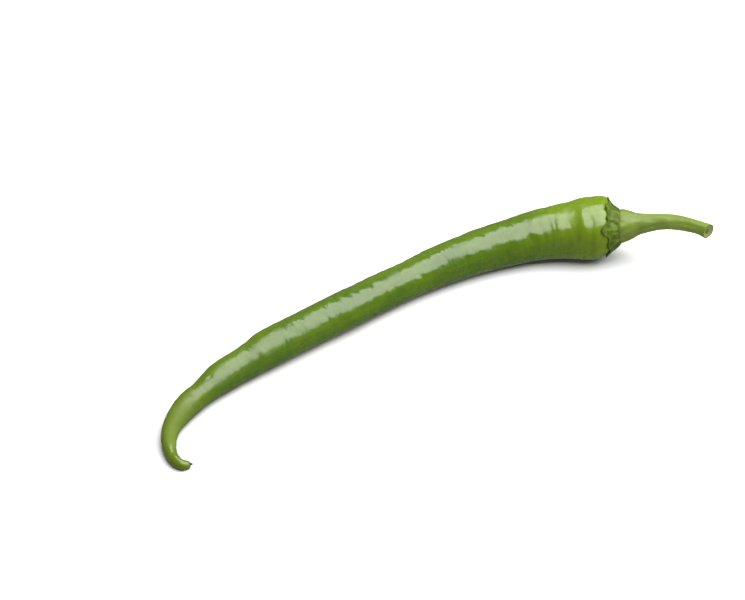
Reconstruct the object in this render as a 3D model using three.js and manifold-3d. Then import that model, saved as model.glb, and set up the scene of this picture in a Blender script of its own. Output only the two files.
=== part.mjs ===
// A long green chilli pepper as picked, lying on its side on a table: a slender pod that curls at the
// tip and swells at the shoulder, the calyx that cups the shoulder, the stem with its cut end, and the
// dried remnant of the style on the tip.
// Millimetres, +Z up, the table at z = 0. +X runs towards the stem. The origin is on the table, under
// the middle of the pepper's box.

import * as THREE from 'three';
import { mergeVertices } from 'three/addons/utils/BufferGeometryUtils.js';
import Module from 'manifold-3d';

// ---- Driving dimensions ----------------------------------------------------------------------

// The midline from the curled tip to the shoulder: x, y and the pod's radius there. The pod lies on the
// table all along, so its midline is one radius above the table.
const POD_LINE = [
  [-74.9, -33.3, 0.9],
  [-76.1, -33.0, 1.2],
  [-77.0, -31.6, 1.45],
  [-77.2, -28.8, 1.6],
  [-76.1, -24.6, 1.95],
  [-73.3, -19.8, 2.4],
  [-68.0, -15.4, 3.05],
  [-59.0, -10.7, 3.65],
  [-44.0, -6.2, 4.7],
  [-30.0, -3.3, 5.35],
  [-10.0, 0.2, 5.55],
  [14.0, 4.0, 5.6],
  [32.0, 5.2, 6.2],
  [48.0, 3.9, 6.85],
  [60.0, 1.2, 7.7],
  [72.6, -5.4, 9.25],
];

// The midline goes on through the calyx and the stem, which rises off the table and bends: x, y, z.
const STEM_LINE = [
  [76.4, -8.4, 10.0],
  [80.2, -11.6, 11.5],
  [84.0, -14.9, 12.9],
  [88.4, -18.6, 14.1],
  [92.2, -23.1, 14.8],
  [94.6, -28.0, 15.2],
  [96.4, -33.8, 15.4],
];

const RESTING_FLAT_DEPTH = 0.12; // how far the skin is pressed flat where it rests
const DOME_DEPTH = 6.4; // from the pod's widest ring to the middle of its domed end
const DOME_POWER = 3; // 2 is an ellipse, more is squarer
const TIP_DEPTH = 0.7; // length of the rounded end of the curled tip

const GAP = 0.3; // between the pieces that touch

const CALYX_THICKNESS = 0.4;
const CALYX_RIM_DEPTH = 4.5; // mean place of the rim, past the pod's widest ring
const CALYX_TEETH = 5;
const CALYX_TOOTH_LENGTH = 1.6;
const CALYX_NECK_DEPTH = 8.4; // where the calyx ends and the stem starts
const CALYX_NECK_RADIUS = 5.0;

// The stem's radius at distances from its foot. It flares at the foot and again at the cut end.
const STEM_PROFILE = [
  [0.0, 4.9],
  [2.6, 4.2],
  [5.6, 3.2],
  [9.0, 2.6],
  [14.0, 2.25],
  [20.0, 2.05],
  [25.4, 2.2],
];
const CUT_EDGE = 0.25; // softened edge of the cut end

const STYLE_LENGTH = 0.8;
const STYLE_RADIUS = 0.36;

const SKIN_GREEN = 0x5d7f12;
const CALYX_GREEN = 0x5c7a1c;
const STEM_GREEN = 0x869f3c;
const DRIED_BROWN = 0x3b3320;

// ---- The midline -----------------------------------------------------------------------------

const UP = new THREE.Vector3(0, 0, 1);

const midline = new THREE.CatmullRomCurve3(
  [...POD_LINE, ...STEM_LINE].map(([x, y, z]) => new THREE.Vector3(x, y, z)),
  false,
  'centripetal',
);
const STEPS_PER_POINT = 20;
const pointCount = POD_LINE.length + STEM_LINE.length;
midline.arcLengthDivisions = STEPS_PER_POINT * (pointCount - 1);
const midlineLength = midline.getLength();

// Distance along the midline from the tip to the widest ring of the pod.
const SHOULDER = midline.getLengths()[STEPS_PER_POINT * (POD_LINE.length - 1)];

// The midline's place and directions at a distance from the tip. Past either end it runs on straight.
function station(distance) {
  const inside = THREE.MathUtils.clamp(distance, 0, midlineLength);
  const along = midline.getTangentAt(inside / midlineLength);
  const centre = midline.getPointAt(inside / midlineLength);
  centre.addScaledVector(along, distance - inside);
  const side = new THREE.Vector3().crossVectors(along, UP).normalize();
  const top = new THREE.Vector3().crossVectors(side, along);
  return { centre, along, side, top };
}

// Bends a shape turned about the Y axis so that its axis follows the midline from a start distance.
function bendAlongMidline(geometry, start) {
  const place = geometry.getAttribute('position');
  const vertex = new THREE.Vector3();
  for (let i = 0; i < place.count; i += 1) {
    vertex.fromBufferAttribute(place, i);
    const { centre, side, top } = station(start + vertex.y);
    centre.addScaledVector(side, vertex.x).addScaledVector(top, vertex.z);
    place.setXYZ(i, centre.x, centre.y, centre.z);
  }
  return geometry;
}

// ---- Solids ----------------------------------------------------------------------------------

const wasm = await Module();
wasm.setup();

function toSolid(geometry) {
  const bare = geometry.clone();
  bare.deleteAttribute('normal');
  bare.deleteAttribute('uv');
  const merged = mergeVertices(bare, 1e-5);
  return new wasm.Manifold(
    new wasm.Mesh({
      numProp: 3,
      vertProperties: merged.getAttribute('position').array,
      triVerts: merged.getIndex().array,
    }),
  );
}

function toGeometry(solid) {
  const { vertProperties, triVerts } = solid.getMesh();
  const geometry = new THREE.BufferGeometry();
  geometry.setAttribute('position', new THREE.BufferAttribute(vertProperties, 3));
  geometry.setIndex(new THREE.BufferAttribute(triVerts, 1));
  geometry.computeVertexNormals();
  return geometry;
}

// ---- Pod -------------------------------------------------------------------------------------

const POD_RINGS = 68;
const RING_CROWDING = 1.3; // above 1, the rings crowd towards the tightly curled tip
const POD_SIDES = 24;
const DOME_RINGS = 7;

function podRadius(distance) {
  return midline.getPointAt(distance / midlineLength).z;
}

// Radius of the pod's domed end at a depth past its widest ring.
function domeRadius(depth) {
  const widest = podRadius(SHOULDER);
  return widest * (1 - (depth / DOME_DEPTH) ** DOME_POWER) ** (1 / DOME_POWER);
}

function buildPod() {
  const profile = [new THREE.Vector2(0, -TIP_DEPTH)];
  const tipRadius = podRadius(0);
  for (const angle of [Math.PI / 6, Math.PI / 3]) {
    profile.push(new THREE.Vector2(tipRadius * Math.sin(angle), -TIP_DEPTH * Math.cos(angle)));
  }
  for (let i = 0; i <= POD_RINGS; i += 1) {
    const distance = SHOULDER * (i / POD_RINGS) ** RING_CROWDING;
    profile.push(new THREE.Vector2(podRadius(distance), distance));
  }
  for (let i = 1; i < DOME_RINGS; i += 1) {
    const depth = DOME_DEPTH * Math.sin(((Math.PI / 2) * i) / DOME_RINGS);
    profile.push(new THREE.Vector2(domeRadius(depth), SHOULDER + depth));
  }
  profile.push(new THREE.Vector2(0, SHOULDER + DOME_DEPTH));

  const pod = bendAlongMidline(new THREE.LatheGeometry(profile, POD_SIDES), 0);
  pod.computeBoundingBox();
  pod.translate(0, 0, -RESTING_FLAT_DEPTH - pod.boundingBox.min.z);

  // The table takes off the lowest sliver of skin, and leaves the flat that the pepper rests on.
  const table = new THREE.BoxGeometry(300, 200, 20).translate(0, 0, -10);
  return toGeometry(toSolid(pod).subtract(toSolid(table)));
}

// ---- Calyx -----------------------------------------------------------------------------------

const CALYX_SIDES = 40;
const CALYX_ROWS = 6;

// How far a tooth reaches at an angle, from 0 in the notch between two teeth to 1 at a tooth's point.
function toothAt(angle) {
  return Math.abs(Math.cos((CALYX_TEETH * angle) / 2)) ** 3;
}

// The calyx's outline at an angle, as [radius, depth past the pod's widest ring] from the middle of its
// inner face, out over the pod's dome to the rim, and back over its outer face to the neck.
function calyxOutline(angle) {
  const rim = CALYX_RIM_DEPTH - CALYX_TOOTH_LENGTH * (toothAt(angle) - 0.5);
  const outline = [[0, DOME_DEPTH + GAP]];
  for (let i = CALYX_ROWS - 1; i >= 0; i -= 1) {
    const depth = rim + ((DOME_DEPTH - rim) * i) / CALYX_ROWS;
    outline.push([domeRadius(depth) + GAP, depth + (GAP * i) / CALYX_ROWS]);
  }
  const rimRadius = domeRadius(rim) + GAP + CALYX_THICKNESS;
  outline.push([rimRadius, rim + CALYX_THICKNESS / 2]);
  outline.push([(rimRadius + CALYX_NECK_RADIUS) / 2, (rim + CALYX_NECK_DEPTH) / 2 + 0.5]);
  outline.push([CALYX_NECK_RADIUS, CALYX_NECK_DEPTH]);
  outline.push([0, CALYX_NECK_DEPTH]);
  return outline;
}

function buildCalyx() {
  const rows = calyxOutline(0).length;
  const blank = calyxOutline(0).map(([radius, depth]) => new THREE.Vector2(radius, depth));
  const calyx = new THREE.LatheGeometry(blank, CALYX_SIDES);
  const place = calyx.getAttribute('position');
  for (let side = 0; side <= CALYX_SIDES; side += 1) {
    const angle = (2 * Math.PI * side) / CALYX_SIDES;
    calyxOutline(angle).forEach(([radius, depth], row) => {
      const index = side * rows + row;
      place.setXYZ(index, radius * Math.sin(angle), depth, radius * Math.cos(angle));
    });
  }
  return bendAlongMidline(calyx, SHOULDER);
}

// ---- Stem ------------------------------------------------------------------------------------

const STEM_SIDES = 16;
const STEM_RINGS = 22;

function buildStem() {
  const outline = new THREE.SplineCurve(STEM_PROFILE.map(([at, radius]) => new THREE.Vector2(radius, at)));
  const rings = outline.getPoints(STEM_RINGS);
  const last = rings[rings.length - 1];
  const profile = [
    new THREE.Vector2(0, 0),
    ...rings,
    new THREE.Vector2(last.x - CUT_EDGE, last.y + CUT_EDGE),
    new THREE.Vector2(0, last.y + CUT_EDGE),
  ];
  const foot = SHOULDER + CALYX_NECK_DEPTH + GAP;
  return bendAlongMidline(new THREE.LatheGeometry(profile, STEM_SIDES), foot);
}

// ---- Style remnant ---------------------------------------------------------------------------

const STYLE_SIDES = 8;

function buildStyle() {
  const start = -TIP_DEPTH - GAP;
  const profile = [
    new THREE.Vector2(0, -STYLE_LENGTH),
    new THREE.Vector2(STYLE_RADIUS * 0.55, -STYLE_LENGTH * 0.9),
    new THREE.Vector2(STYLE_RADIUS, -STYLE_LENGTH * 0.25),
    new THREE.Vector2(STYLE_RADIUS * 0.8, 0),
    new THREE.Vector2(0, 0),
  ];
  return bendAlongMidline(new THREE.LatheGeometry(profile, STYLE_SIDES), start);
}

// ---- Assembly --------------------------------------------------------------------------------

function piece(name, geometry, color, roughness) {
  const material = new THREE.MeshStandardMaterial({ color, roughness, metalness: 0 });
  const mesh = new THREE.Mesh(geometry, material);
  mesh.name = name;
  return mesh;
}

const group = new THREE.Group();
group.add(
  piece('pod', buildPod(), SKIN_GREEN, 0.3),
  piece('calyx', buildCalyx(), CALYX_GREEN, 0.5),
  piece('stem', buildStem(), STEM_GREEN, 0.45),
  piece('style_remnant', buildStyle(), DRIED_BROWN, 0.85),
);

// Bring the middle of the pepper's box over the origin.
const middle = new THREE.Box3().setFromObject(group).getCenter(new THREE.Vector3());
group.position.set(-middle.x, -middle.y, 0);

export default group;
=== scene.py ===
# %% [markdown]
# # A long green chilli pepper
#
# This lesson dresses a measured model of one fresh green chilli pepper. The measured model gives the
# size and the place of four pieces: the pod, the calyx that cups its shoulder, the stem, and the dried
# remnant of the style on the tip. Here each piece gets its real surface: the lobes, swellings and cross
# creases of the pod, the ragged teeth and folds of the calyx, the ridges and the cut face of the stem.
# Every piece is first turned straight, like a candle, then shaped, and only at the end bent along the
# pepper's midline, because folds and stripes are easy to place on a straight piece.

# %% The frame
import math

import bmesh
import bpy
import numpy as np
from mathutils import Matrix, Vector, noise


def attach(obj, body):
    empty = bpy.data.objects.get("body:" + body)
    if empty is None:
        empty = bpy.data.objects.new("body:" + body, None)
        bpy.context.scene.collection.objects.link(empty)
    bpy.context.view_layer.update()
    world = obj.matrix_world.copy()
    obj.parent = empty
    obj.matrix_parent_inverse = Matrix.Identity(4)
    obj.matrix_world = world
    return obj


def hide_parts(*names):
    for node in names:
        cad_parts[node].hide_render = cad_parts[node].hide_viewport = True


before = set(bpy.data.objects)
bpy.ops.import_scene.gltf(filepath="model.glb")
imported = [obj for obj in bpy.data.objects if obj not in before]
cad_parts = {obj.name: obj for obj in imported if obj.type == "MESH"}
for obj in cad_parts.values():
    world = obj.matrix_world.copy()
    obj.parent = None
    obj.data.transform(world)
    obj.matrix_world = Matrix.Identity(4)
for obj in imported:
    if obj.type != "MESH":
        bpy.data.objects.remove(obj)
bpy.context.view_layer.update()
MM = 0.001

# %% [markdown]
# ## Camera, floor and light
#
# A pepper this glossy is mostly a picture of what shines on it, so the light comes first. One wide soft
# box hangs overhead and reaches far to the right: on a round, waxy skin it becomes a long pale streak.
# The streak breaks where the skin leans so much that it no longer faces the box, as it does just before
# the shoulder. The pale floor lights the underside. The camera looks down from the front left with a
# long lens, which keeps the far end of the pepper from shrinking.

# %% Camera
VIEW_AZIMUTH = math.radians(-30)
VIEW_ELEVATION = math.radians(36)
VIEW_DISTANCE = 591 * MM
AIM = Vector((-9.2, 11.4, 6.0)) * MM

towards_camera = Vector((
    math.sin(VIEW_AZIMUTH) * math.cos(VIEW_ELEVATION),
    -math.cos(VIEW_AZIMUTH) * math.cos(VIEW_ELEVATION),
    math.sin(VIEW_ELEVATION),
))
camera_data = bpy.data.cameras.new("camera")
camera_data.lens = 100
camera_data.sensor_width = 36
camera_data.clip_start = 0.01
camera = bpy.data.objects.new("camera", camera_data)
camera.location = AIM + towards_camera * VIEW_DISTANCE
camera.rotation_euler = towards_camera.to_track_quat("Z", "Y").to_euler()
bpy.context.collection.objects.link(camera)
bpy.context.scene.camera = camera
bpy.context.scene.view_settings.view_transform = "Standard"

# %% Light
BOX_HEIGHT = 0.62
BOX_WIDTH = 1.36  # across the view
BOX_DEPTH = 0.85  # along the view
BOX_RIGHT = 0.52  # how far its middle is to the right of the pepper
BOX_AWAY = 0.03  # and how far behind it
BOX_POWER = 21.0


def overhead_softbox():
    """A wide area light over the pepper that faces straight down, square to the camera's view."""
    data = bpy.data.lights.new("overhead_softbox", "AREA")
    data.shape = "RECTANGLE"
    data.size = BOX_WIDTH
    data.size_y = BOX_DEPTH
    data.energy = BOX_POWER
    light = bpy.data.objects.new("overhead_softbox", data)
    right = Vector((math.cos(VIEW_AZIMUTH), math.sin(VIEW_AZIMUTH), 0.0))
    away = Vector((-math.sin(VIEW_AZIMUTH), math.cos(VIEW_AZIMUTH), 0.0))
    light.location = right * BOX_RIGHT + away * BOX_AWAY + Vector((0.0, 0.0, BOX_HEIGHT))
    light.rotation_euler = (0.0, 0.0, VIEW_AZIMUTH)
    bpy.context.collection.objects.link(light)
    return light


overhead = overhead_softbox()
room = bpy.data.worlds.new("room")
room.use_nodes = True
room.node_tree.nodes["Background"].inputs["Color"].default_value = (1.0, 1.0, 1.0, 1.0)
room.node_tree.nodes["Background"].inputs["Strength"].default_value = 0.2
bpy.context.scene.world = room
print("lights:", overhead.name, "and the room")

# %% [markdown]
# ## Writing materials as sums
#
# A node material is arithmetic on numbers that change over a surface. This small class lets Python's own
# operators add the Math nodes, so that `1 - mask` and `fine * 0.3 + coarse` read as what they are. All
# other nodes come from one method that takes a node's type, its settings and its sockets.

# %% A small shader language
class Wire:
    """An output socket that carries a value which changes over the surface."""

    def __init__(self, finish, socket):
        self.finish = finish
        self.socket = socket

    def maths(self, operation, first, second):
        return self.finish.node("ShaderNodeMath", {"operation": operation}, {0: first, 1: second})

    def __add__(self, other):
        return self.maths("ADD", self, other)

    def __radd__(self, other):
        return self.maths("ADD", other, self)

    def __sub__(self, other):
        return self.maths("SUBTRACT", self, other)

    def __rsub__(self, other):
        return self.maths("SUBTRACT", other, self)

    def __mul__(self, other):
        return self.maths("MULTIPLY", self, other)

    def __rmul__(self, other):
        return self.maths("MULTIPLY", other, self)

    def __truediv__(self, other):
        return self.maths("DIVIDE", self, other)

    def __pow__(self, other):
        return self.maths("POWER", self, other)


class Finish:
    """A material in the making."""

    def __init__(self, name, fixed):
        self.material = bpy.data.materials.new(name)
        self.material.use_nodes = True
        self.nodes = self.material.node_tree.nodes
        self.links = self.material.node_tree.links
        self.surface = self.nodes["Principled BSDF"]
        for socket, value in fixed.items():
            self.surface.inputs[socket].default_value = value

    def node(self, kind, settings=None, sockets=None, output=0):
        """Adds a node, settings first, then its sockets, and returns one of its outputs."""
        made = self.nodes.new(kind)
        for setting, value in (settings or {}).items():
            setattr(made, setting, value)
        for socket, value in (sockets or {}).items():
            self.feed(made.inputs[socket], value)
        return Wire(self, made.outputs[output])

    def feed(self, socket, value):
        """Links a wire to a socket, or sets the socket's own value."""
        if isinstance(value, Wire):
            self.links.new(value.socket, socket)
        elif socket.type == "RGBA" and len(value) == 3:
            socket.default_value = (*value, 1.0)
        else:
            socket.default_value = value

    def set(self, socket, value):
        """Feeds one socket of the finished surface."""
        self.feed(self.surface.inputs[socket], value)

    def straight(self, stretch=(1, 1, 1)):
        """The place on the piece before it was bent, in metres, stretched by a factor on each axis."""
        place = self.node("ShaderNodeAttribute", {"attribute_name": "straight"}, output="Vector")
        return self.node("ShaderNodeMapping", sockets={"Vector": place, "Scale": stretch})

    def value(self, name):
        """A number stored on the piece's vertices."""
        return self.node("ShaderNodeAttribute", {"attribute_name": name}, output="Fac")

    def noise(self, vector, scale, detail=3.0, roughness=0.5, distortion=0.0):
        """Cloudy noise from 0 to 1."""
        sockets = {
            "Vector": vector,
            "Scale": scale,
            "Detail": detail,
            "Roughness": roughness,
            "Distortion": distortion,
        }
        return self.node("ShaderNodeTexNoise", sockets=sockets, output="Fac")

    def spots(self, vector, scale, size):
        """Round spots of a given size in cells, 1 in the middle and 0 outside."""
        sockets = {"Vector": vector, "Scale": scale}
        cells = self.node("ShaderNodeTexVoronoi", sockets=sockets, output="Distance")
        return self.between(cells, size, 0.0)

    def between(self, value, low, high):
        """A smooth step from 0 at low to 1 at high."""
        sockets = {"Value": value, "From Min": low, "From Max": high}
        return self.node("ShaderNodeMapRange", {"interpolation_type": "SMOOTHSTEP"}, sockets)

    def mix(self, amount, first, second):
        """Mixes two colours."""
        return self.node("ShaderNodeMix", {"data_type": "RGBA"}, {0: amount, 6: first, 7: second}, output=2)

    def relief(self, height, distance, strength=1.0, below=None):
        """A bump of the given height, in metres where the height is 1, on top of another bump."""
        sockets = {"Height": height, "Distance": distance, "Strength": strength}
        if below is not None:
            sockets["Normal"] = below
        return self.node("ShaderNodeBump", sockets=sockets)


def linear(red, green, blue):
    """A colour as a screen shows it, 0 to 255, in the linear numbers that shaders use."""
    channels = [c / 255 for c in (red, green, blue)]
    return tuple(c / 12.92 if c <= 0.04045 else ((c + 0.055) / 1.055) ** 2.4 for c in channels)


# %% Floor
FLOOR_HALF = 3.0


def make_floor():
    """A wide pale floor at the height that the pepper rests on."""
    bm = bmesh.new()
    bmesh.ops.create_grid(bm, x_segments=1, y_segments=1, size=FLOOR_HALF)
    mesh = bpy.data.meshes.new("floor")
    bm.to_mesh(mesh)
    bm.free()
    floor = bpy.data.objects.new("floor", mesh)
    bpy.context.collection.objects.link(floor)
    paper = Finish("white_paper", {"Roughness": 0.7, "Specular IOR Level": 0.3})
    grain = paper.noise(paper.node("ShaderNodeTexCoord", output="Object"), 40.0, 4.0)
    paper.set("Base Color", paper.mix(grain, (0.69, 0.69, 0.69), (0.71, 0.71, 0.71)))
    mesh.materials.append(paper.material)
    floor.visible_glossy = False  # the pepper's gloss shows the dim room instead of the white paper
    return floor


make_floor()
print("floor:", 2 * FLOOR_HALF, "m wide")

# %% [markdown]
# ## The midline
#
# A pepper grows round a line, so one smooth curve carries all its pieces: from the curled tip, through
# the pod to the shoulder, and on through the calyx and the stem. The points are those of the measured
# model. The pod lies on the floor all along, so the third number is both its radius and the height of
# its middle. A centripetal Catmull-Rom curve passes through every point without loops, which matters
# where the tip curls.

# %% The points of the midline
# x, y and the pod's radius, from the tip to the shoulder.
POD_LINE = np.array([
    (-74.9, -33.3, 0.9),
    (-76.1, -33.0, 1.2),
    (-77.0, -31.6, 1.45),
    (-77.2, -28.8, 1.6),
    (-76.1, -24.6, 1.95),
    (-73.3, -19.8, 2.4),
    (-68.0, -15.4, 3.05),
    (-59.0, -10.7, 3.65),
    (-44.0, -6.2, 4.7),
    (-30.0, -3.3, 5.35),
    (-10.0, 0.2, 5.55),
    (14.0, 4.0, 5.6),
    (32.0, 5.2, 6.2),
    (48.0, 3.9, 6.85),
    (60.0, 1.2, 7.7),
    (72.6, -5.4, 9.25),
])
# x, y and height, through the calyx to the cut end of the stem.
STEM_LINE = np.array([
    (76.4, -8.4, 10.0),
    (80.2, -11.6, 11.5),
    (84.0, -14.9, 12.9),
    (88.4, -18.6, 14.1),
    (92.2, -23.1, 14.8),
    (94.6, -28.0, 15.2),
    (96.4, -33.8, 15.4),
])
ORIGIN = np.array((9.195, -11.405, 0.0))  # the frame's origin among these points
SETTLE = 0.1  # how far the pod sinks into its resting flat
HEAD_LEAN = 0.15  # the shoulder and calyx sit askew: their top reaches further than their underside


# %% The curve through them
def centripetal(points, steps=40):
    """Points on a centripetal Catmull-Rom curve, and the index of each given point among them."""
    ends = np.vstack([2 * points[0] - points[1], points, 2 * points[-1] - points[-2]])
    curve = []
    for a, b, c, d in zip(ends, ends[1:], ends[2:], ends[3:]):
        ab, bc, cd = (math.sqrt(np.linalg.norm(q - p)) for p, q in ((a, b), (b, c), (c, d)))
        leave = ((b - a) / ab - (c - a) / (ab + bc) + (c - b) / bc) * bc
        arrive = ((c - b) / bc - (d - b) / (bc + cd) + (d - c) / cd) * bc
        for t in np.arange(steps) / steps:
            curve.append(
                b + leave * t
                + (3 * (c - b) - 2 * leave - arrive) * t**2
                + (2 * (b - c) + leave + arrive) * t**3
            )
    curve.append(points[-1])
    return np.array(curve), steps


line, per_point = centripetal(np.vstack([POD_LINE, STEM_LINE]))
travel = np.concatenate([[0.0], np.cumsum(np.linalg.norm(np.diff(line, axis=0), axis=1))])
SHOULDER = travel[per_point * (len(POD_LINE) - 1)]
LINE_LENGTH = travel[-1]
print(f"pod {SHOULDER:.1f} mm to its widest ring, whole midline {LINE_LENGTH:.1f} mm")


def along(distance):
    """The midline's place and its along, side and top directions at distances in mm from the tip."""
    inside = np.clip(distance, 0.0, LINE_LENGTH)
    place = np.stack([np.interp(inside, travel, line[:, k]) for k in range(3)], axis=-1)
    reach = 0.4
    ahead = np.clip(inside + reach, 0.0, LINE_LENGTH)
    behind = np.clip(inside - reach, 0.0, LINE_LENGTH)
    forward = np.stack(
        [np.interp(ahead, travel, line[:, k]) - np.interp(behind, travel, line[:, k]) for k in range(3)],
        axis=-1,
    )
    forward /= np.linalg.norm(forward, axis=-1, keepdims=True)
    side = np.cross(forward, (0.0, 0.0, 1.0))
    side /= np.linalg.norm(side, axis=-1, keepdims=True)
    top = np.cross(side, forward)
    return place + forward * (distance - inside)[..., None], forward, side, top


# %% Smooth humps and steps
def hump(value, centre, width):
    """A smooth hump, 1 at the centre and fading over the width."""
    return np.exp(-(((value - centre) / width) ** 2))


def facing(angle, centre, spread):
    """A smooth hump round the pepper, which joins up behind."""
    return np.exp((np.cos(angle - centre) - 1.0) / spread**2)


def ease(value, low, high):
    """A smooth step from 0 at low to 1 at high."""
    t = np.clip((value - low) / (high - low), 0.0, 1.0)
    return t * t * (3.0 - 2.0 * t)


# %% [markdown]
# ## From a straight piece to a bent one
#
# A turned piece stands on the Z axis. Its height is the distance along the midline from the tip, in
# millimetres, its +X side becomes the top of the pepper, and its +Y side becomes the side that faces
# the camera. Two helpers do the rest: one turns an outline into a closed shape with `spin`, the other
# bends it. The straight place of every vertex is stored before bending, so a material can still draw
# stripes along the pepper and bands round it.

# %% Turning, bending and finishing
def turned(outline, sides):
    """A closed shape turned about Z from (radius, height) points that start and end on the axis."""
    bm = bmesh.new()
    (radius, height), *rest = outline
    newest = bm.verts.new((radius, 0.0, height))
    for next_radius, next_height in rest:
        made = bmesh.ops.extrude_vert_indiv(bm, verts=[newest])
        newest = made["verts"][0]
        step = (next_radius - radius, 0.0, next_height - height)
        bmesh.ops.translate(bm, verts=[newest], vec=step)
        radius, height = next_radius, next_height
    chain = bm.verts[:] + bm.edges[:]
    bmesh.ops.spin(
        bm, geom=chain, cent=(0, 0, 0), axis=(0, 0, 1), angle=2 * math.pi, steps=sides, use_merge=True
    )
    bmesh.ops.remove_doubles(bm, verts=bm.verts, dist=1e-5)
    bmesh.ops.recalc_face_normals(bm, faces=bm.faces)
    return bm


def places(bm):
    """All vertex places of a mesh as an array."""
    return np.array([vertex.co for vertex in bm.verts])


def polar(points):
    """Radius, angle from the top towards the camera side, and height of straight points."""
    return np.hypot(points[:, 0], points[:, 1]), np.arctan2(points[:, 1], points[:, 0]), points[:, 2]


def from_polar(radius, angle, height):
    """The reverse of polar."""
    return np.stack([radius * np.cos(angle), radius * np.sin(angle), height], axis=-1)


def bend(points):
    """Straight points, in mm, bent along the midline, in the frame's metres."""
    height = points[:, 2]
    leaning = ease(height, SHOULDER - 9, SHOULDER + 3) * (1.0 - ease(height, SHOULDER + 8, SHOULDER + 15))
    points = points + np.outer(leaning * points[:, 0], (0.0, 0.0, HEAD_LEAN))
    place, forward, side, top = along(points[:, 2])
    bent = place + top * points[:, :1] + side * points[:, 1:2]
    bent[:, 2] -= SETTLE
    return (bent - ORIGIN) * MM


def finished(name, bm, straight, bent, values, material):
    """Writes the bent places to the mesh, stores what the material reads, and makes the object."""
    place_layer = bm.verts.layers.float_vector.new("straight")
    layers = {key: bm.verts.layers.float.new(key) for key in values}
    for index, vertex in enumerate(bm.verts):
        vertex.co = bent[index]
        vertex[place_layer] = straight[index] * MM
        for key, layer in layers.items():
            vertex[layer] = values[key][index]
    bmesh.ops.recalc_face_normals(bm, faces=bm.faces)
    if bm.calc_volume(signed=True) < 0:
        bmesh.ops.reverse_faces(bm, faces=bm.faces)
    mesh = bpy.data.meshes.new(name)
    bm.to_mesh(mesh)
    bm.free()
    mesh.shade_smooth()
    mesh.materials.append(material)
    piece = bpy.data.objects.new(name, mesh)
    bpy.context.collection.objects.link(piece)
    size = (bent.max(axis=0) - bent.min(axis=0)) / MM
    print(f"{name}: {len(mesh.polygons)} faces, {size.round(1)} mm")
    return piece


# %% [markdown]
# ## The pod
#
# The pod's outline is the radius along the midline, with a rounded tip and a domed end under the calyx.
# A real pod isn't a smooth cone. Inside, two or three ribs hold the wall, so the section is faintly
# lobed. The wall is thin and grew in spurts, so it swells and narrows, and fine creases cross it. The
# creases are modelled in the mesh, a few tenths of a millimetre wide, because they are what breaks the
# streak of light along the skin.

# %% The pod's outline
POD_RINGS = 720
POD_SIDES = 104
DOME_DEPTH = 6.4
DOME_POWER = 3
DOME_RINGS = 14
TIP_DEPTH = 0.7
TIP_RINGS = 6


def pod_radius(distance):
    """The pod's radius at a distance from the tip."""
    return np.interp(distance, travel, line[:, 2])


def dome_radius(depth):
    """The radius of the pod's domed end at a depth past its widest ring."""
    inside = np.clip(depth / DOME_DEPTH, 0.0, 1.0)
    return pod_radius(SHOULDER) * (1.0 - inside**DOME_POWER) ** (1 / DOME_POWER)


def pod_outline():
    """(radius, height) from the tip to the middle of the domed end."""
    turns = np.linspace(0.0, math.pi / 2, TIP_RINGS, endpoint=False)
    outline = [(pod_radius(0) * math.sin(t), -TIP_DEPTH * math.cos(t)) for t in turns]
    outline += [(pod_radius(d), d) for d in np.linspace(0.0, SHOULDER, POD_RINGS)]
    turns = np.linspace(0.0, math.pi / 2, DOME_RINGS)[1:]
    outline += [(dome_radius(DOME_DEPTH * math.sin(t)), SHOULDER + DOME_DEPTH * math.sin(t)) for t in turns]
    outline[-1] = (0.0, SHOULDER + DOME_DEPTH)
    return outline


# %% Lobes, swellings and creases
LOBES = 3
# Swellings of the wall: distance from the tip, angle in degrees, length, spread in degrees, height in
# mm. A distance below zero counts back from the widest ring, and a spread of 400 goes all the way round.
SWELLINGS = [
    (0.4, 0, 1.6, 400, 0.26),
    (25.0, -60, 5.0, 50, 0.22),
    (32.5, -60, 3.0, 50, -0.30),
    (40.0, -55, 4.5, 50, 0.50),
    (49.0, -60, 4.0, 45, -0.34),
    (57.0, -50, 5.0, 50, 0.26),
    (30.0, 35, 3.0, 40, -0.14),
    (44.0, 45, 3.0, 40, -0.14),
    (52.0, 30, 2.4, 35, 0.12),
    (71.0, 30, 4.0, 50, -0.16),
    (84.0, 60, 7.0, 45, 0.16),
    (104.0, 10, 7.0, 60, -0.18),
    (121.0, 50, 8.0, 50, 0.15),
    (-23.0, 20, 6.0, 60, -0.15),
    (-13.9, 35, 0.8, 35, -0.06),
    (-12.7, 35, 0.7, 35, 0.05),
    (-12.0, 35, 1.2, 40, -0.08),
    (-10.4, 35, 1.2, 40, 0.07),
    (-7.6, 15, 2.4, 80, -0.24),
    (-3.1, 0, 2.2, 90, 0.26),
]
# Creases come in clusters: distance from the tip, angle in degrees, length, number of creases. A
# distance below zero counts back from the widest ring.
CREASE_CLUSTERS = [
    (16.0, 10, 4, 5),
    (33.0, 30, 4, 4),
    (52.0, 20, 5, 7),
    (63.0, 35, 6, 9),
    (78.0, 60, 6, 4),
    (92.0, 20, 6, 4),
    (108.0, 70, 7, 4),
    (118.0, 25, 6, 4),
    (-22.0, 55, 5, 12),
    (-31.0, 20, 5, 5),
    (-8.0, 100, 6, 6),
    (60.0, -70, 14, 12),
    (110.0, -80, 16, 12),
    (-12.0, -60, 8, 8),
]
LONE_CREASES = 30
CREASE_SEED = 7


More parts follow.
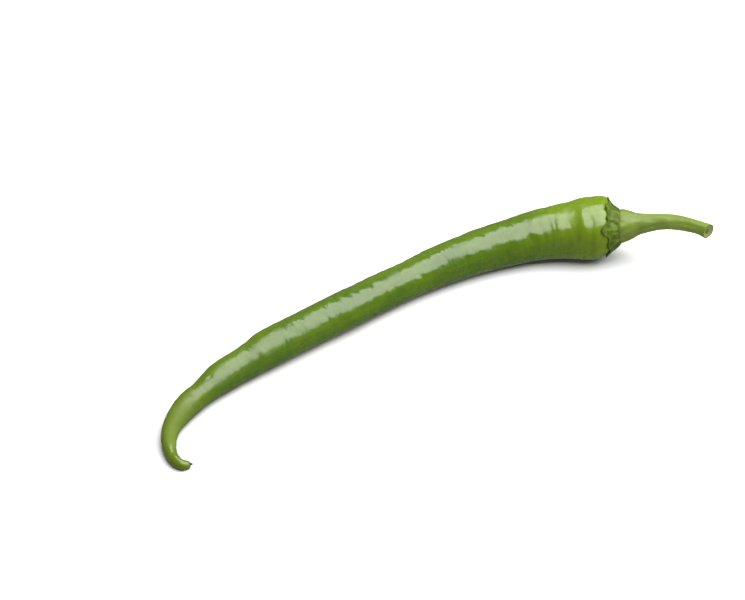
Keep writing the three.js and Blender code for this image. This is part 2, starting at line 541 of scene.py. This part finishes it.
def swell(angle, height):
    """How far the wall stands out of a plain turned shape, in mm."""
    size = pod_radius(np.clip(height, 0, SHOULDER))
    lobed = 0.012 + 0.03 * ease(height, SHOULDER - 50, SHOULDER - 4)
    out = size * lobed * np.cos(LOBES * (angle - 0.6) - height * 0.012)
    out += size * 0.012 * np.cos(2 * angle + height * 0.045)
    for distance, turn, length, spread, rise in SWELLINGS:
        middle = distance if distance > 0 else SHOULDER + distance
        out += rise * hump(height, middle, length) * facing(angle, math.radians(turn), math.radians(spread))
    return out


def crease_places(dice):
    """The distance from the tip and the angle of the middle of every crease."""
    for distance, turn, length, number in CREASE_CLUSTERS:
        middle = distance if distance > 0 else SHOULDER + distance
        for _ in range(number):
            yield dice.normal(middle, length / 2), dice.normal(math.radians(turn), 0.45)
    for _ in range(LONE_CREASES):
        yield dice.uniform(6.0, SHOULDER - 2.0), dice.uniform(-math.pi, math.pi)


def crease(angle, height):
    """How deep the fine cross creases are, in mm."""
    dice = np.random.default_rng(CREASE_SEED)
    depth = np.zeros_like(height)
    for middle, turn in crease_places(dice):
        spread = math.radians(dice.uniform(7, 22))
        width = dice.uniform(0.4, 1.5)
        slope = dice.normal(0.0, 0.8)
        wave = dice.uniform(-0.4, 0.4)
        cut = 0.03 + dice.uniform(0.25, 1.0) ** 3 * 0.15
        near = np.abs(height - middle) < 6.0
        off = np.angle(np.exp(1j * (angle[near] - turn)))
        line_up = middle + slope * off + wave * np.sin(5 * off)
        shape = hump(height[near], line_up, width) - 0.4 * hump(height[near], line_up + 1.8 * width, width)
        depth[near] += cut * shape * facing(angle[near], turn, spread)
    thin = ease(pod_radius(np.clip(height, 0, SHOULDER)), 1.2, 4.5)
    return depth * thin


WIDE_RIPPLE = 0.20
FINE_RIPPLE = 0.11
PUCKER = 0.07


def ripple(points):
    """Low, soft unevenness of the skin, in mm."""
    out = []
    for x, y, z in points:
        wide = noise.noise(Vector((x * 0.16, y * 0.16, z * 0.10)))
        fine = noise.noise(Vector((x * 0.34, y * 0.34, z * 0.50 + 40.0)))
        puckered = noise.noise(Vector((x * 0.42, y * 0.42, z * 1.1 + 90.0)))
        rough = max(noise.noise(Vector((x * 0.1, y * 0.1, z * 0.12 + 200.0))) + 0.15, 0.0)
        out.append(WIDE_RIPPLE * wide + FINE_RIPPLE * fine + (0.01 + PUCKER * rough) * puckered)
    return np.array(out)


# %% [markdown]
# ### The pod's skin
#
# The skin is a clear, waxy film over green flesh. Its colour is not even: the flesh is yellower at the
# shoulder and towards the tip, faint paler and darker fibres run along it, and there are tiny pale pores
# and a few dark specks. Painted light is added on top: the top and far side are painted paler, and the
# creases are painted darker as shade. The film gives a second, sharper gloss, made with the coat, and it
# is worn thin and dull near the tip. A little light scatters in the flesh, which keeps the dark side from
# going black.

# %% The skin finish
DEEP_GREEN = linear(60, 87, 2)
MID_GREEN = linear(76, 100, 2)
LEAF_GREEN = linear(96, 119, 6)
YELLOW_GREEN = linear(112, 132, 18)
TIP_GREEN = linear(88, 105, 4)
SPECK = linear(44, 58, 10)


def skin_finish():
    """The pod's material."""
    skin = Finish("pod_skin", {
        "Roughness": 0.25,
        "IOR": 1.47,
        "Coat Roughness": 0.18,
        "Subsurface Weight": 0.18,
        "Subsurface Radius": (0.45, 1.0, 0.12),
        "Subsurface Scale": 0.0018,
    })
    clouds = skin.noise(skin.straight((1, 1, 0.35)), 150.0, 4.0, 0.55)
    fibres = skin.noise(skin.straight((1, 1, 0.045)), 900.0, 4.0, 0.6, 0.4)
    pores = skin.spots(skin.straight((1, 1, 0.7)), 1300.0, 0.26)
    pore_patches = skin.noise(skin.straight(), 260.0, 2.0)
    specks = skin.spots(skin.straight((1, 1, 0.9)), 190.0, 0.075)
    paler = skin.value("paler")
    crease_shade = skin.value("crease_shade")
    dull = skin.value("dull")

    tone = skin.between(clouds * 0.6 + fibres * 0.4, 0.36, 0.66)
    green = skin.mix(tone, DEEP_GREEN, MID_GREEN)
    # paler holds both the flesh's own yellowing and painted light on the top and far side
    green = skin.mix(skin.between(paler + clouds * 0.3 - 0.15, 0.0, 1.0), green, LEAF_GREEN)
    green = skin.mix(skin.between(paler, 0.8, 1.6), green, YELLOW_GREEN)
    green = skin.mix(pores * skin.between(pore_patches, 0.45, 0.65) * 0.35, green, YELLOW_GREEN)
    green = skin.mix(skin.value("young") * 0.8, green, TIP_GREEN)
    # painted shade: the creases are painted darker, towards the deep green
    green = skin.mix(crease_shade * 0.25, green, DEEP_GREEN)
    green = skin.mix(specks * 0.8, green, SPECK)
    skin.set("Base Color", green)

    wax = skin.noise(skin.straight((1, 1, 0.5)), 420.0, 4.0)
    worn = skin.between(wax + dull * 0.3, 0.42, 0.85)
    skin.set("Roughness", worn * 0.22 + dull * 0.32 + 0.21)
    skin.set("Coat Weight", 0.16 - dull * 0.16)
    wrinkles = skin.noise(skin.straight((1, 1, 2.6)), 330.0, 3.0, 0.5, 0.6)
    peel = skin.noise(skin.straight(), 1500.0, 2.0)
    folds = skin.relief(wrinkles, 0.00012, 0.4)
    skin.set("Normal", skin.relief(peel, 0.00001, 0.4, folds))
    return skin.material


# %% Making the pod
def make_pod():
    """The pod, bent and resting on the floor."""
    bm = turned(pod_outline(), POD_SIDES)
    plain = places(bm)
    radius, angle, height = polar(plain)
    cuts = crease(angle, height)
    covered = 1.0 - ease(height, SHOULDER + 3.6, SHOULDER + 5.2)  # nothing stands out under the calyx
    underside = 1.0 - 0.85 * facing(angle, math.pi, 0.6)
    relief = (swell(angle, height) + ripple(plain)) * covered * underside - cuts * covered
    share = np.minimum(radius / np.maximum(pod_radius(np.clip(height, 0, SHOULDER)), 0.1), 1.0)
    straight = from_polar(np.maximum(radius + relief * share, 0.0), angle, height)
    bent = bend(straight)
    bent[:, 2] = np.maximum(bent[:, 2], 0.0)

    shoulder = ease(height, SHOULDER - 26, SHOULDER - 3)
    tip = 1.0 - ease(height, 4, 42)
    # painted light: the top and far side of the pod are painted paler; the shoulder and tip terms are the
    # flesh's own yellowing
    painted_top_light = 0.45 * facing(angle, math.radians(-50), 0.75)
    paler = 0.6 * shoulder + 0.25 * tip + painted_top_light
    dull = ease(height, 7.0, 9.5) * (1.0 - 0.8 * ease(height, 18.0, 30.0) - 0.2 * ease(height, 50.0, 85.0))
    young = 1.0 - ease(height, 14.0, 46.0)
    # painted shade: how dark each crease is painted, from how deep it cuts
    crease_shade = np.clip(cuts / 0.1, 0.0, 1.0)
    values = {"paler": paler, "crease_shade": crease_shade, "dull": dull, "young": young}
    return finished("pod_skin", bm, straight, bent, values, skin_finish())


pod = make_pod()
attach(pod, "root")
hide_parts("pod")

# %% [markdown]
# ## The calyx
#
# The calyx is what is left of the green cup that held the flower. It is thin, hugs the shoulder like a
# shrunken collar, and ends in small uneven teeth, one at the end of each rib, with dry brown points. The
# turned sleeve below has no shape of its own: its height only counts the rows of the collar, from the
# middle of its top, out over the neck and down to the rim, round the edge and back inside. A formula
# then gives each row and angle its place, so every tooth, rib and fold is one term of that formula.

# %% The collar's rows
CALYX_SIDES = 220
NECK_ROWS = 4
OUTER_ROWS = 34
EDGE_ROWS = 4
INNER_ROWS = 10
CALYX_ROWS = NECK_ROWS + OUTER_ROWS + EDGE_ROWS + INNER_ROWS
CALYX_NECK_DEPTH = 8.4
CALYX_NECK_RADIUS = 5.0
CALYX_RIM_DEPTH = 4.9
RIM_THICKNESS = 0.22
RIB_HEIGHT = 0.15
FOLD_DEPTH = 0.12  # at both feet of a tooth
# Teeth of the rim: angle in degrees, reach in mm, half-width in degrees, how far the point stands off.
TEETH = [
    (8, 0.8, 10, 0.50),
    (35, 0.3, 8, 0.05),
    (62, 2.3, 17, 0.05),
    (104, 0.5, 13, 0.10),
    (138, 0.9, 11, 0.20),
    (162, 0.4, 8, 0.25),
    (203, 1.5, 16, 0.10),
    (256, 0.7, 12, 0.20),
    (296, 1.2, 13, 0.10),
    (325, 0.9, 10, 0.5),
]


def tooth(angle, turn, half_width):
    """How near an angle is to the point of a tooth, 1 at the point and 0 at its foot."""
    off = np.abs(np.angle(np.exp(1j * (angle - math.radians(turn)))))
    return np.clip(1.0 - off / math.radians(half_width), 0.0, 1.0)


def rim_depth(angle):
    """Where the rim of the calyx lies, in mm past the pod's widest ring."""
    depth = CALYX_RIM_DEPTH + 0.12 * np.cos(9 * angle + 1.0) + 0.09 * np.cos(23 * angle) * np.cos(5 * angle)
    depth = depth + 0.05 * np.cos(41 * angle + 2.0) + 0.65 * facing(angle, math.radians(128), 0.7)
    for turn, reach, half_width, _ in TEETH:
        depth = depth - reach * tooth(angle, turn, half_width) ** 0.9
    return depth


def collar(row, angle):
    """Radius and depth of the collar at a row and an angle, and how close to the rim that is."""
    rim = rim_depth(angle)
    outer = np.clip((row - NECK_ROWS) / OUTER_ROWS, 0.0, 1.0)
    edge = np.clip((row - NECK_ROWS - OUTER_ROWS) / EDGE_ROWS, 0.0, 1.0)
    inner = np.clip((row - NECK_ROWS - OUTER_ROWS - EDGE_ROWS) / INNER_ROWS, 0.0, 1.0)
    depth = CALYX_NECK_DEPTH + (rim - CALYX_NECK_DEPTH) * outer**0.85
    hugging = dome_radius(depth) + RIM_THICKNESS + 0.1 * (1.0 - outer)
    cone = CALYX_NECK_RADIUS + (CALYX_NECK_DEPTH - depth) * 0.82
    cone = np.minimum(cone, 8.6)
    radius = (hugging**14 + cone**14) ** (1 / 14)

    out = np.zeros_like(radius)
    for turn, _, half_width, lift in TEETH:
        spread = math.radians(half_width)
        rib = facing(angle, math.radians(turn), 0.34 * spread)
        out += RIB_HEIGHT * rib * ease(outer, 0.05, 0.35) * (1.0 - 0.5 * outer)
        for foot in (math.radians(turn) + 1.1 * spread, math.radians(turn) - 1.1 * spread):
            out -= FOLD_DEPTH * facing(angle, foot, 0.30 * spread) * hump(outer, 0.62, 0.28)
        out += lift * tooth(angle, turn, half_width) * ease(outer, 0.72, 1.0)
    out += 0.10 * np.cos(17 * angle + 4.0 * outer) * hump(outer, 0.25, 0.25)
    out += 0.05 * np.cos(31 * angle + 7.0 * outer)
    out -= 0.28 * hump(outer, 0.0, 0.10)  # a shallow groove where the stem begins
    radius = radius + out * (1.0 - edge * (row > NECK_ROWS + OUTER_ROWS))

    bottom = dome_radius(rim) + 0.04
    turned_in = radius + (bottom - radius) * edge
    round_edge = 0.10 * np.sin(math.pi * edge)
    under_depth = rim + (DOME_DEPTH + 0.02 - rim) * inner
    under = np.where(inner > 0, dome_radius(under_depth) + 0.04, turned_in)
    depth = np.where(inner > 0, under_depth, depth - round_edge)
    neck = np.clip(row / NECK_ROWS, 0.0, 1.0)
    radius = np.where(row <= NECK_ROWS, radius * neck, under)
    closeness = np.where(inner > 0, 1.0, outer)
    return radius, depth, closeness


# %% [markdown]
# ### The calyx's finish
#
# It is the same green tissue as the stem, but older: darker and duller than the pod, with a painted
# highlight, a paler green, along its ribs, and dry and brown at the points of the teeth and faintly along
# the rim.

# %% The calyx finish
CALYX_DARK = linear(54, 72, 4)
CALYX_GREEN = linear(76, 96, 8)
CALYX_RIB_HIGHLIGHT = linear(104, 124, 38)
DRY_BROWN = linear(48, 46, 26)


def calyx_finish():
    """The calyx's material."""
    cup = Finish("calyx_green", {
        "IOR": 1.34,
        "Subsurface Weight": 0.1,
        "Subsurface Radius": (0.45, 1.0, 0.12),
        "Subsurface Scale": 0.001,
    })
    clouds = cup.noise(cup.straight(), 420.0, 4.0)
    fibres = cup.noise(cup.straight((1, 1, 0.25)), 1500.0, 3.0)
    rib = cup.value("rib")
    dry = cup.value("dry")
    green = cup.mix(cup.between(clouds, 0.3, 0.7), CALYX_DARK, CALYX_GREEN)
    # painted highlight: the ribs are painted a paler green, as if they catch the light
    green = cup.mix(cup.between(rib * clouds * 1.6 + fibres * 0.3, 0.35, 1.2) * 0.75, green, CALYX_RIB_HIGHLIGHT)
    green = cup.mix(cup.between(dry + clouds * 0.7 - 0.35, 0.35, 0.75), green, DRY_BROWN)
    cup.set("Base Color", green)
    cup.set("Roughness", cup.between(dry, 0.2, 0.8) * 0.3 + 0.45)
    cup.set("Normal", cup.relief(fibres, 0.00008, 0.5, cup.relief(clouds, 0.0001, 0.4)))
    return cup.material


# %% Making the calyx
def make_calyx():
    """The ragged collar on the shoulder."""
    sleeve = [(0.0, 0.0)] + [(5.0, float(row)) for row in range(1, CALYX_ROWS)] + [(0.0, float(CALYX_ROWS))]
    bm = turned(sleeve, CALYX_SIDES)
    _, angle, row = polar(places(bm))
    radius, depth, closeness = collar(row, angle)
    straight = from_polar(radius, angle, SHOULDER + depth)
    # painted highlight: how strongly each rib is painted paler
    rib_highlight = sum(facing(angle, math.radians(turn), 0.3 * math.radians(half)) for turn, _, half, _ in TEETH)
    points = sum(tooth(angle, turn, half) for turn, _, half, _ in TEETH)
    dry = ease(closeness, 0.84, 1.0) * (0.22 + 0.85 * points)
    values = {"rib": rib_highlight * (1.0 - 0.4 * closeness), "dry": dry}
    return finished("calyx_collar", bm, straight, bend(straight), values, calyx_finish())


calyx = make_calyx()
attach(calyx, "root")
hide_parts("calyx")

# %% [markdown]
# ## The stem
#
# The stem flares where it holds the calyx and again, slightly, at its cut end. It isn't round: soft
# ridges run along it with grooves between them. The knife left a flat, slightly sunken face with a
# raised edge of skin, a ring of pale wood and a darker pith.

# %% The stem's shape
STEM_SIDES = 96
STEM_ROWS = 150
STEM_START = CALYX_NECK_DEPTH - 0.5  # the foot starts a little inside the calyx
# Distance from the stem's foot and radius there, mm.
STEM_PROFILE = np.array([
    (0.0, 4.75),
    (0.7, 4.95),
    (1.8, 4.75),
    (3.6, 4.15),
    (5.6, 3.25),
    (7.8, 2.85),
    (10.5, 2.5),
    (15.0, 2.25),
    (20.0, 2.08),
    (24.8, 2.02),
    (27.2, 2.2),
])
STEM_LENGTH = STEM_PROFILE[-1, 0]
CUT_ROWS = 16
CUT_SUNK = 0.35
CUT_SLANT = -0.12  # the knife went through at a slant, so the face looks a little to the side
STEM_RIDGES = 5
STEM_TWIST = 0.035  # radians in each mm
STEM_GROOVE_DEPTH = 0.17  # of the one groove on the camera side


def stem_radius(distance):
    """The stem's mean radius at a distance from its foot, on one smooth curve."""
    smooth, _ = centripetal(STEM_PROFILE, 12)
    return np.interp(distance, smooth[:, 0], smooth[:, 1])


def stem_outline():
    """(radius, height) from the hidden foot to the middle of the cut face."""
    start = SHOULDER + STEM_START
    outline = [(0.0, start)]
    outline += [(float(stem_radius(d)), start + d) for d in np.linspace(0.0, STEM_LENGTH, STEM_ROWS)]
    lip = float(stem_radius(STEM_LENGTH))
    for share in np.linspace(0.0, 1.0, CUT_ROWS)[1:]:
        edge = 0.12 * math.sin(math.pi * min(share / 0.16, 1.0))
        sunk = CUT_SUNK * float(ease(share, 0.08, 0.5)) - 0.12 * float(ease(share, 0.6, 0.85))
        outline.append((lip * (1.0 - share), start + STEM_LENGTH + edge - sunk))
    return outline


# %% [markdown]
# ### The stem's finish
#
# It is paler and yellower than the pod, with fibres along it, a satin skin and a few small darker marks.
# The grooves between its ridges are painted a darker green as shade. The cut face has its own colours,
# chosen by how far a point is from the middle.

# %% The stem finish
STEM_GREEN = linear(90, 108, 26)
STEM_PALE = linear(112, 130, 44)
# the next dark green is both painted shade in the stem's grooves and the colour of small real marks
STEM_SHADE_AND_MARKS = linear(68, 88, 16)
WOOD_PALE = linear(112, 120, 66)
PITH_DARK = linear(84, 88, 42)
CUT_RIM = linear(56, 64, 26)


def stem_finish():
    """The stem's material."""
    stalk = Finish("stem_green", {
        "IOR": 1.43,
        "Subsurface Weight": 0.12,
        "Subsurface Radius": (0.6, 1.0, 0.2),
        "Subsurface Scale": 0.0012,
    })
    clouds = stalk.noise(stalk.straight((1, 1, 0.4)), 330.0, 4.0)
    fibres = stalk.noise(stalk.straight((1, 1, 0.05)), 2600.0, 4.0, 0.6)
    ridge = stalk.value("ridge")
    cut = stalk.value("cut")
    middle = stalk.value("middle")
    satin = stalk.value("satin")
    green = stalk.mix(stalk.between(clouds * 0.65 + fibres * 0.35, 0.3, 0.8), STEM_GREEN, STEM_PALE)
    # painted shade: the grooves between the ridges are painted a darker green
    green = stalk.mix(stalk.between(0.5 - ridge, 0.2, 0.9) * 0.6, green, STEM_SHADE_AND_MARKS)
    # small real darker marks on the skin, in the same dark green
    marks = stalk.spots(stalk.straight((1, 1, 0.5)), 420.0, 0.12)
    green = stalk.mix(marks * 0.5, green, STEM_SHADE_AND_MARKS)
    rays = stalk.noise(stalk.straight((1, 1, 1)), 3200.0, 3.0)
    wood = stalk.mix(stalk.between(rays, 0.35, 0.7), WOOD_PALE, STEM_PALE)
    wood = stalk.mix(stalk.between(middle + rays * 0.25, 0.62, 0.42), wood, PITH_DARK)
    wood = stalk.mix(stalk.between(middle + rays * 0.1, 0.86, 0.98), wood, CUT_RIM)
    stalk.set("Base Color", stalk.mix(cut, green, wood))
    stalk.set("Roughness", stalk.between(fibres, 0.3, 0.7) * 0.12 + 0.34 + satin * 0.16 + cut * 0.3)
    grain = stalk.relief(fibres, 0.00004, 0.5)
    stalk.set("Normal", stalk.relief(clouds, 0.00012, 0.35, grain))
    return stalk.material


# %% Making the stem
def make_stem():
    """The ridged stem with its cut face."""
    bm = turned(stem_outline(), STEM_SIDES)
    plain = places(bm)
    radius, angle, height = polar(plain)
    from_foot = height - SHOULDER - STEM_START
    size = stem_radius(np.clip(from_foot, 0.0, STEM_LENGTH))
    twist = STEM_TWIST * from_foot
    slim = ease(from_foot, 2.0, 8.0)
    ridge = np.cos(STEM_RIDGES * (angle + twist) + 0.7)
    even = 1.0 - 0.75 * ease(from_foot, STEM_LENGTH - 5.0, STEM_LENGTH)
    out = size * (0.014 + 0.02 * slim) * ridge * even
    out -= STEM_GROOVE_DEPTH * facing(angle, math.radians(62) - twist, 0.22) * slim * even
    out += 0.10 * np.cos(11 * angle + 0.3 * from_foot) * hump(from_foot, 1.0, 1.4)
    out += np.array([
        0.14 * noise.noise(Vector((x * 0.5, y * 0.5, z * 0.28)))
        + 0.05 * noise.noise(Vector((x, y, z * 0.8)))
        for x, y, z in plain
    ])
    share = np.clip(radius / size, 0.0, 1.0)
    straight = from_polar(radius + out * share, angle, height)
    straight[:, 2] += CUT_SLANT * straight[:, 1] * ease(from_foot, STEM_LENGTH - 3.0, STEM_LENGTH)
    cut = np.where((from_foot > STEM_LENGTH - 1.0) & (share < 0.985), 1.0, 0.0)
    values = {"ridge": 0.5 + 0.5 * ridge, "cut": cut, "middle": share, "satin": ease(from_foot, 5.0, 11.0)}
    return finished("stem_stalk", bm, straight, bend(straight), values, stem_finish())


stem = make_stem()
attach(stem, "root")
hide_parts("stem")

# %% [markdown]
# ## The style remnant
#
# The style is the thread that the flower's pollen grew down. It falls off and leaves a dry, dark stub on
# the tip. It is smaller than a grain of rice, but it is the darkest thing on the pepper, so it shows.

# %% The stub and its finish
STUB_PROFILE = np.array([
    (-1.40, 0.10),
    (-1.30, 0.19),
    (-1.10, 0.25),
    (-0.90, 0.31),
    (-0.65, 0.42),
    (-0.35, 0.40),
])
STUB_SIDES = 36
STUB_ROWS = 30
STUB_OFFSET = (0.6, -0.3, 0.25)  # towards the top, the inside of the curl and the shoulder


def stub_finish():
    """The dried stub's material."""
    dried = Finish("dried_style", {"Roughness": 0.8, "IOR": 1.4})
    crust = dried.noise(dried.straight(), 5200.0, 4.0)
    dark, light = linear(26, 22, 14), linear(74, 62, 36)
    dried.set("Base Color", dried.mix(dried.between(crust, 0.4, 0.75), dark, light))
    dried.set("Roughness", crust * 0.3 + 0.6)
    dried.set("Normal", dried.relief(crust, 0.00006, 0.8))
    return dried.material


def make_stub():
    """The dried remnant on the tip."""
    smooth, _ = centripetal(STUB_PROFILE, 6)
    outline = [(0.0, STUB_PROFILE[0, 0])] + [(r, z) for z, r in smooth] + [(0.0, STUB_PROFILE[-1, 0])]
    bm = turned(outline, STUB_SIDES)
    plain = places(bm)
    radius, angle, height = polar(plain)
    crinkle = np.array([noise.noise(Vector((x * 5.0, y * 5.0, z * 3.0))) for x, y, z in plain])
    radius = radius * (1.0 + 0.45 * crinkle + 0.12 * np.cos(5 * angle))
    straight = from_polar(radius, angle, height) + np.array(STUB_OFFSET)
    return finished("style_stub", bm, straight, bend(straight), {}, stub_finish())


stub = make_stub()
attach(stub, "root")
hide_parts("style_remnant")
